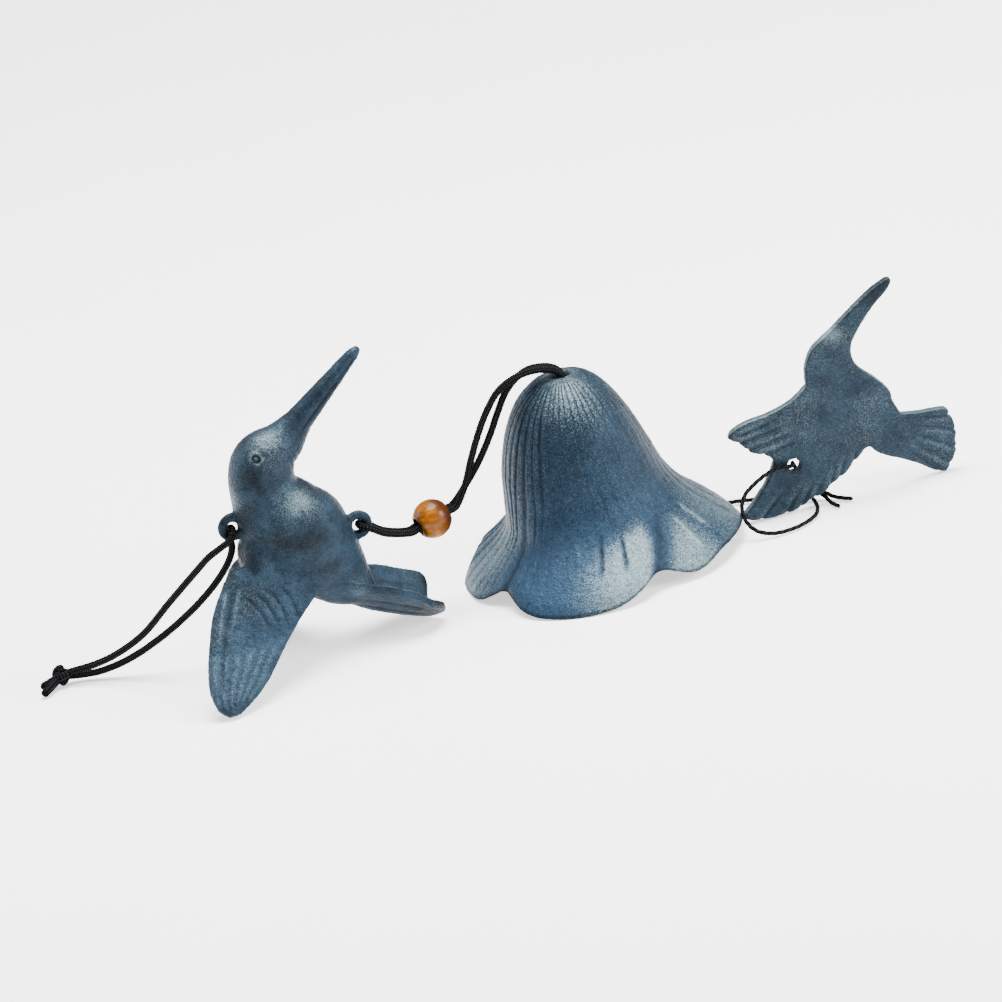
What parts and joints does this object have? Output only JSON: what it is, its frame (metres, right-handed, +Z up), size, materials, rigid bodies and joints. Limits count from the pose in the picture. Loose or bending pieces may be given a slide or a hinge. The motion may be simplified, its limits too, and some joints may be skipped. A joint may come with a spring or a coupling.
{
  "type": "wind bell",
  "caption": "Hanging wind bell: cast hummingbird on a cord loop, wooden bead, flower-shaped bell with a clapper inside, and a flat hummingbird wind catcher.",
  "frame": {"origin": "on the table, under the middle of the box round the cast pieces and the bead", "axes": "+X from the hanger towards the flat hummingbird, +Y away from the picture's viewer, +Z up from the table"},
  "size_m": [0.2972, 0.1138, 0.0948],
  "materials": {
    "bell_iron": "matt patina",
    "bird_iron": "matt patina",
    "plate_iron": "matt patina",
    "clapper_iron": "matt patina",
    "bead_wood": "lacquered",
    "thick_cord": "braided",
    "thin_cord": "twisted"
  },
  "bodies": {
    "hummingbird": {"hummingbird": "bird_iron"},
    "hanger": {"hanger_cord": "thick_cord", "hanger_knot": "thick_cord"},
    "suspension": {"suspension_cord": "thick_cord"},
    "bead": {"wood_bead": "bead_wood"},
    "bell": {"flower_bell": "bell_iron", "crown_knot": "thick_cord"},
    "clapper": {"clapper_cord": "thin_cord", "clapper": "clapper_iron", "stop_knot": "thin_cord"},
    "catcher_line": {"catcher_line": "thin_cord", "catcher_loop": "thin_cord", "catcher_knot": "thin_cord"},
    "flat_hummingbird": {"flat_hummingbird": "plate_iron"}
  },
  "joints": [
    {"name": "hanger_swing", "type": "hinge", "parent": "hummingbird", "child": "hanger", "pos_m": [-0.1051, -0.02031, 0.0485], "axis": [-0.225, 0.9744, 0], "range_deg": [0, 75]},
    {"name": "suspension_swing", "type": "hinge", "parent": "hummingbird", "child": "suspension", "pos_m": [-0.06691, -0.0115, 0.0371], "axis": [0.225, -0.9744, 0], "range_deg": [-5, 30]},
    {"name": "bead_spin", "type": "hinge", "parent": "suspension", "child": "bead", "pos_m": [-0.04388, -0.00365, 0.0307], "axis": [0.9222, 0.3308, 0.2005], "continuous": true},
    {"name": "bell_swing", "type": "hinge", "parent": "suspension", "child": "bell", "pos_m": [0.00462, 0.01285, 0.0609], "axis": [0, -1, 0], "range_deg": [-4, 25]},
    {"name": "clapper_swing", "type": "hinge", "parent": "bell", "child": "clapper", "pos_m": [0.00462, 0.01285, 0.05185], "axis": [0, -1, 0], "range_deg": [0, 11.5]},
    {"name": "line_swing", "type": "hinge", "parent": "clapper", "child": "catcher_line", "pos_m": [0.00462, 0.01285, 0.01375], "axis": [0, -1, 0], "range_deg": [-11.5, 0]},
    {"name": "catcher_swing", "type": "hinge", "parent": "catcher_line", "child": "flat_hummingbird", "pos_m": [0.06995, 0.01588, 0.0156], "axis": [0.1392, -0.9903, 0], "range_deg": [-8, 8]}
  ],
  "couplings": [
    {"joint": "line_swing", "follows": "clapper_swing", "ratio": -1}
  ]
}
